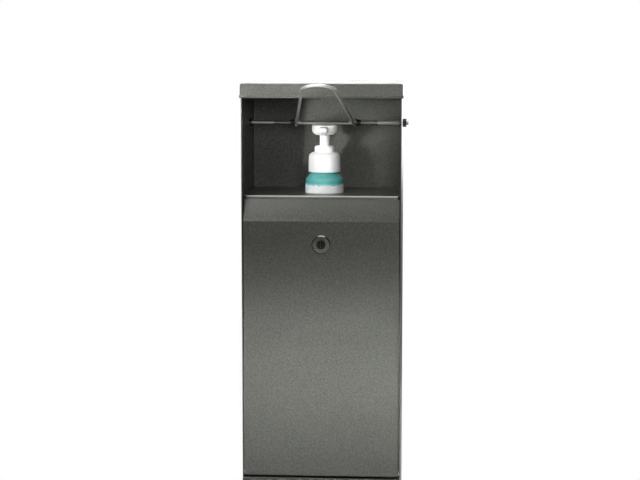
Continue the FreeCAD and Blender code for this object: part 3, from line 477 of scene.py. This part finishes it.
# The collar's wall goes from its bore over the foot, the side and the round shoulder to the crown
collar_low, collar_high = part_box("pump_collar")
chaplet_low, chaplet_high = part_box("pump_chaplet")
bottle_low, bottle_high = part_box("bottle")
COLLAR_WALL = 0.0016
COLLAR_BEAD = 0.0003
COLLAR_DRAFT = 0.0006
GROOVE_LOW = 0.0018
GROOVE_HIGH = 0.0029
CROWN_FIT = 0.0001
SHOULDER_ROUND = 0.0074
collar_radius = collar_high[0]
collar_bore = collar_radius - COLLAR_WALL
crown_radius = chaplet_high[0] + CROWN_FIT
ceiling = collar_high[2] - 2 * COLLAR_WALL
foot = collar_low[2]
collar = drawn_up(
    [
        (collar_bore, foot),
        (collar_radius - COLLAR_BEAD, foot),
        (collar_radius, foot + COLLAR_BEAD),
        (collar_radius, foot + GROOVE_LOW),
        (collar_radius - COLLAR_BEAD, foot + GROOVE_LOW + COLLAR_BEAD),
        (collar_radius - COLLAR_BEAD, foot + GROOVE_HIGH - COLLAR_BEAD),
        (collar_radius, foot + GROOVE_HIGH),
    ]
    + arc(
        (collar_radius - COLLAR_DRAFT - SHOULDER_ROUND, collar_high[2] - SHOULDER_ROUND),
        SHOULDER_ROUND,
        0,
        90,
        10,
    )
    + [
        (crown_radius, collar_high[2]),
        (crown_radius, ceiling),
        (collar_bore, ceiling),
        (collar_bore, foot),
    ],
    sides=128,
)
close_wall()
settle(collar, "pump_closure", white, "stand_frame", smooth=35)
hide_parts("pump_collar")

# The head is a round button on a hollow stem, and its short nozzle points down at the front
head_low, head_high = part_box("pump_head")
HEAD_RADIUS = head_high[0]
HEAD_HEIGHT = 0.0150
HEAD_EDGE = 0.0013
HEAD_UNDER = 0.0072
UNDER_RISE = 0.0010
STEM_FLARE = 0.0012
FLARE_START = 0.0002
STEM_RADIUS = 0.0066
NOZZLE_WIDE = 0.0150
NOZZLE_HIGH = 0.0100
NOZZLE_TIP = 0.72
NOZZLE_DOWN = 0.0012
NOZZLE_ROUND = 0.0030
MOUTH_RADIUS = 0.0027
MOUTH_INSET = 0.0052
MOUTH_DEEP = 0.010
MOUTH_DOWN = 0.0062
MOULD_STEP = 0.00042
head_top = head_high[2]
head_under = head_top - HEAD_HEIGHT
head = drawn_up(
    [(STEM_RADIUS, head_low[2]), (STEM_RADIUS, head_under + FLARE_START)]
    + [(STEM_RADIUS + STEM_FLARE, head_under + UNDER_RISE)]
    + arc((HEAD_RADIUS - HEAD_UNDER, head_under + UNDER_RISE + HEAD_UNDER), HEAD_UNDER, -90, 0, 8)
    + arc((HEAD_RADIUS - HEAD_EDGE, head_top - HEAD_EDGE), HEAD_EDGE, 0, 90, 4),
    sides=96,
)
bpy.ops.mesh.edge_face_add()
pick("EDGE", lambda centre, run: abs(centre.z - head_low[2]) < TOUCHING)
bpy.ops.mesh.edge_face_add()
close_wall()

nozzle_middle = head_top - NOZZLE_DOWN - NOZZLE_HIGH / 2
nozzle_reach = -head_low[1]
bpy.ops.mesh.primitive_cube_add(
    size=1,
    location=(0, -nozzle_reach / 2, nozzle_middle),
    scale=(NOZZLE_WIDE, nozzle_reach, NOZZLE_HIGH),
)
nozzle = bpy.context.object
bpy.ops.object.transform_apply(location=True, scale=True)
bpy.ops.object.mode_set(mode="EDIT")
pick("FACE", lambda centre, normal: normal.y < -0.9)
bpy.ops.transform.resize(
    value=(NOZZLE_TIP, 1, NOZZLE_TIP), center_override=(0, -nozzle_reach, nozzle_middle - NOZZLE_DOWN)
)
pick("EDGE", lambda centre, run: centre.y < -0.001)
bpy.ops.mesh.bevel(offset=NOZZLE_ROUND, segments=6, clamp_overlap=True)
close_wall()
cut(head, nozzle, "UNION")
bpy.ops.mesh.primitive_cylinder_add(
    vertices=48,
    radius=MOUTH_RADIUS,
    depth=MOUTH_DEEP,
    location=(0, MOUTH_INSET - nozzle_reach, nozzle_middle - MOUTH_DOWN),
)
cut(head, bpy.context.object)
apply_modifier(head, "REMESH", mode="VOXEL", voxel_size=MOULD_STEP)
apply_modifier(head, "SMOOTH", factor=0.5, iterations=6)
settle(head, "pump_button", white, "pump_actuator", smooth=60)
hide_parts("pump_head")


# Bottle and gel
# A round bottle, blown in teal see-through plastic with a pushed-up foot and a parting line at
# each side, filled with pale teal gel up to its shoulder. The pump's housing and the dip tube
# stand in the gel, in bores that are cut for them.
BOTTLE_WALL = 0.0011
GEL_GAP = 0.0002
HEEL_ROUND = 0.0030
NECK_RADIUS = 0.0190
SHOULDER_HIGH = 0.1640
SHOULDER_RISE = 0.0070
SHOULDER_CURVE = 0.0045
SHOULDER_TURN = 62
CURVE_DROP = 0.0015
SIDE_RING = 0.060
PUSHED_UP_FOOT = [(0.0030, 0.0036), (0.0130, 0.0032), (0.0205, 0.0012), (0.0228, 0)]
NECK_FLARE = [(0.0222, -0.0006), (0.0202, 0.0002), (NECK_RADIUS, 0.0010), (NECK_RADIUS, 0.0120)]
teal = Finish("teal_bottle")
ripple = teal.noise(0.012, detail=2.0)
spot = teal.node("ShaderNodeSeparateXYZ", Vector=teal.place())
parting = teal.band(teal.out(spot, "Y").maths("ABSOLUTE"), 0.0, 0.0004, 1.0, 0.0)
teal.set(
    Base_Color=teal.mix(ripple, shade(96, 206, 200), shade(140, 222, 220)),
    Roughness=teal.band(ripple, 0.3, 0.7, 0.1, 0.18),
    IOR=1.49,
    Transmission_Weight=0.35,
    Coat_Weight=0.6,
    Coat_Roughness=0.08,
    Normal=teal.bump(ripple * 0.3 + parting, 0.0002, 0.4),
)
base = bottle_low[2]
shoulder = base + SHOULDER_HIGH
neck_foot = shoulder + SHOULDER_RISE
wide = bottle_high[0]
bottle = drawn_up(
    [(radius, base + rise) for radius, rise in PUSHED_UP_FOOT]
    + arc((wide - HEEL_ROUND, base + HEEL_ROUND), HEEL_ROUND, -90, 0, 6)
    + [(wide, base + SIDE_RING), (wide, base + 2 * SIDE_RING)]
    + arc((wide - SHOULDER_CURVE, shoulder - CURVE_DROP), SHOULDER_CURVE, 0, SHOULDER_TURN, 6)
    + [(radius, neck_foot + rise) for radius, rise in NECK_FLARE]
    + [(NECK_RADIUS, bottle_high[2])],
    sides=96,
)
pick("EDGE", lambda centre, run: centre.xy.length < PUSHED_UP_FOOT[0][0] + GEL_GAP)
bpy.ops.mesh.edge_face_add()
close_wall()
apply_modifier(bottle, "SOLIDIFY", thickness=BOTTLE_WALL, offset=-1)
settle(bottle, "blown_bottle", teal, "stand_frame", smooth=40)
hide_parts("bottle")

gel_finish = Finish("sanitizer_gel")
bubbles = gel_finish.noise(0.003, detail=2.0)
bubbly = gel_finish.band(bubbles, 0.62, 0.7)
gel_finish.set(
    Base_Color=gel_finish.mix(bubbly, shade(96, 200, 194), shade(170, 226, 222)),
    Roughness=0.12,
    Subsurface_Weight=0.4,
    Subsurface_Radius=(0.004, 0.008, 0.008),
)
inside = wide - BOTTLE_WALL - GEL_GAP
HOUSING_ROOM = 0.0107
GEL_FOOT = [(0.0200, 0.0050), (inside - 0.0020, 0.0052), (inside, 0.0080)]
GEL_TOP = [(inside, -0.0020), (inside - 0.0030, 0.0012), (0.0180, 0.0030)]
gel = drawn_up(
    [(radius, base + rise) for radius, rise in GEL_FOOT]
    + [(radius, shoulder + rise) for radius, rise in GEL_TOP],
    sides=64,
)
bpy.ops.mesh.edge_face_add()
pick("EDGE", lambda centre, run: abs(centre.z - base - GEL_FOOT[0][1]) < TOUCHING)
bpy.ops.mesh.edge_face_add()
close_wall()
housing_low, housing_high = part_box("pump_housing")
tube_low, tube_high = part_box("dip_tube")
top = housing_high[2]
for radius, low in ((HOUSING_ROOM, housing_low[2]), (tube_high[0] + GEL_GAP, tube_low[2])):
    low -= GEL_GAP
    bpy.ops.mesh.primitive_cylinder_add(
        vertices=64, radius=radius, depth=top - low, location=(0, 0, (top + low) / 2)
    )
    cut(gel, bpy.context.object)
settle(gel, "gel_fill", gel_finish, "stand_frame", smooth=40)
clear = Finish("clear_tube")
tube_haze = clear.noise(0.01, detail=2.0)
clear.set(
    Base_Color=clear.mix(tube_haze, shade(222, 230, 228), shade(236, 240, 238)),
    Roughness=clear.band(tube_haze, 0.3, 0.7, 0.18, 0.28),
    Transmission_Weight=0.6,
)
dress(clear, "dip_tube")


# Label
# A thin white film glued round the bottle. It carries no words, only a ragged teal wash along its
# upper edge.
label_low, label_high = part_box("bottle_label")
WASH_LINE = 0.0022
WASH_RAGGED = 0.0085
FILM_THICK = 0.00015
FILM_INSET = 0.0001
film = Finish("label_film")
film_grain = film.noise(0.004, detail=3.0)
film_spot = film.node("ShaderNodeSeparateXYZ", Vector=film.place())
ragged = film.noise(0.0042, detail=4.0, rough=0.65)
over = film.out(film_spot, "Z") - (label_high[2] - WASH_LINE) + (ragged - 0.5) * WASH_RAGGED
washed = film.band(over, -0.0002, 0.0003)
plain = film.mix(film_grain, shade(232, 236, 235), shade(244, 247, 246))
film.set(
    Base_Color=film.mix(washed, plain, shade(112, 200, 198)),
    Roughness=film.band(film_grain, 0.3, 0.7, 0.26, 0.36),
    Normal=film.bump(film_grain, 0.00005, 0.3),
)
across = label_high[0] - FILM_INSET
label = drawn_up([(across, label_low[2]), (across, label_high[2])], sides=128)
close_wall()
apply_modifier(label, "SOLIDIFY", thickness=FILM_THICK, offset=-1)
settle(label, "label_wrap", film, "stand_frame", smooth=40)
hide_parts("bottle_label")


# Studio
# A white paper floor that runs on into a white surround. Wide lamps stand at the right, at the
# left and overhead, a lit panel behind, and narrow ones brighten the door, its foot and the hood.
COLUMN_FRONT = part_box("column_shell")[0][1]
FLOOR_NEAR = 0.5
FLOOR_FAR = 1.5
bpy.ops.mesh.primitive_plane_add(size=60, location=(0, 0, 0))
floor = bpy.context.object
floor.name = "studio_floor"
paper = Finish("studio_paper")
grit = paper.noise(0.02, detail=4.0)
paper.set(Base_Color=paper.mix(grit, shade(226, 226, 225), shade(231, 231, 230)), Roughness=0.8)
glow = paper.node("ShaderNodeEmission", Color=(1, 1, 1, 1), Strength=1.0)
reach = paper.node("ShaderNodeVectorMath", {"operation": "LENGTH"}, **{"0": paper.place()})
far_off = paper.band(paper.out(reach, "Value"), FLOOR_NEAR, FLOOR_FAR, 0.55, 1.0)
path = paper.node("ShaderNodeLightPath")
blend = paper.node("ShaderNodeMixShader", **{"0": far_off * paper.out(path, "Is Camera Ray")})
paper.tree.links.new(paper.surface.outputs[0], blend.inputs[1])
paper.tree.links.new(glow.outputs[0], blend.inputs[2])
paper.tree.links.new(blend.outputs[0], paper.tree.nodes["Material Output"].inputs["Surface"])
floor.data.materials.append(paper.material)

AIR = 0.16
world = bpy.data.worlds.new("studio_air")
scene.world = world
world.use_nodes = True
sky = world.node_tree
background = sky.nodes["Background"]
ray = sky.nodes.new("ShaderNodeLightPath")
through = Wave(sky, ray.outputs["Is Transmission Ray"])
seen = Wave(sky, ray.outputs["Is Camera Ray"]).maths("MAXIMUM", through)
level = seen * (1 - AIR) + AIR
background.inputs["Color"].default_value = (1, 1, 1, 1)
sky.links.new(level.socket, background.inputs["Strength"])


def softbox(name, place, aim, size, power):
    """A rectangular lamp that faces a point."""
    bpy.ops.object.light_add(type="AREA", location=place)
    lamp = bpy.context.object
    lamp.name = name
    lamp.data.shape = "RECTANGLE"
    lamp.data.size, lamp.data.size_y = size
    lamp.data.energy = power
    lamp.rotation_euler = (Vector(aim) - Vector(place)).to_track_quat("-Z", "Y").to_euler()
    return lamp


softbox("right_lamp", (0.50, -2.20, 1.45), (0, 0, 0.95), (0.7, 0.7), 12.5)
softbox("left_lamp", (-1.10, -1.65, 2.10), (0, 0, 0.85), (1.3, 0.8), 27)
softbox("top_lamp", (0, 0.1, 2.6), (0, 0, 0), (1.6, 1.6), 36)
softbox("back_panel", (0, 3.0, 1.35), (0, 0.1, 1.05), (3.0, 1.4), 60)


def narrow(lamp, spread):
    """Let a lamp shine only within an angle."""
    lamp.data.spread = math.radians(spread)


door_aim = (-0.02, COLUMN_FRONT, 0.62)
foot_aim = (-0.02, COLUMN_FRONT, 0.52)
hood_aim = (-0.07, COLUMN_FRONT, 1.045)
narrow(softbox("low_strip", (0, -1.70, 0.60), door_aim, (1.2, 0.10), 0.325), 14)
narrow(softbox("foot_strip", (0, -1.70, 0.56), foot_aim, (1.2, 0.10), 0.08), 12)
narrow(softbox("hood_lamp", (-0.90, -1.60, 1.12), hood_aim, (0.12, 0.12), 0.14), 10)


# Camera
# It stands 2.2 m off, a hand's breadth above the hood and a little to the right, as the
# photograph was taken, and looks slightly down.
CAMERA_DISTANCE = 2.2
CAMERA_HEIGHT = 1.115
CAMERA_RIGHT = 0.0667
AIM_HEIGHT = 0.871
AIM_ACROSS = -0.0014
LENS = 90.9
SHIFT = -0.04
eye = Vector((CAMERA_RIGHT * CAMERA_DISTANCE, COLUMN_FRONT - CAMERA_DISTANCE, CAMERA_HEIGHT))
bpy.ops.object.camera_add(location=eye)
camera = bpy.context.object
camera.name = "photo_camera"
camera.data.sensor_width = 36
camera.data.lens = LENS
camera.data.shift_y = SHIFT
camera.data.clip_end = 100
aim = Vector((AIM_ACROSS, COLUMN_FRONT, AIM_HEIGHT))
camera.rotation_euler = (aim - eye).to_track_quat("-Z", "Y").to_euler()
scene.camera = camera
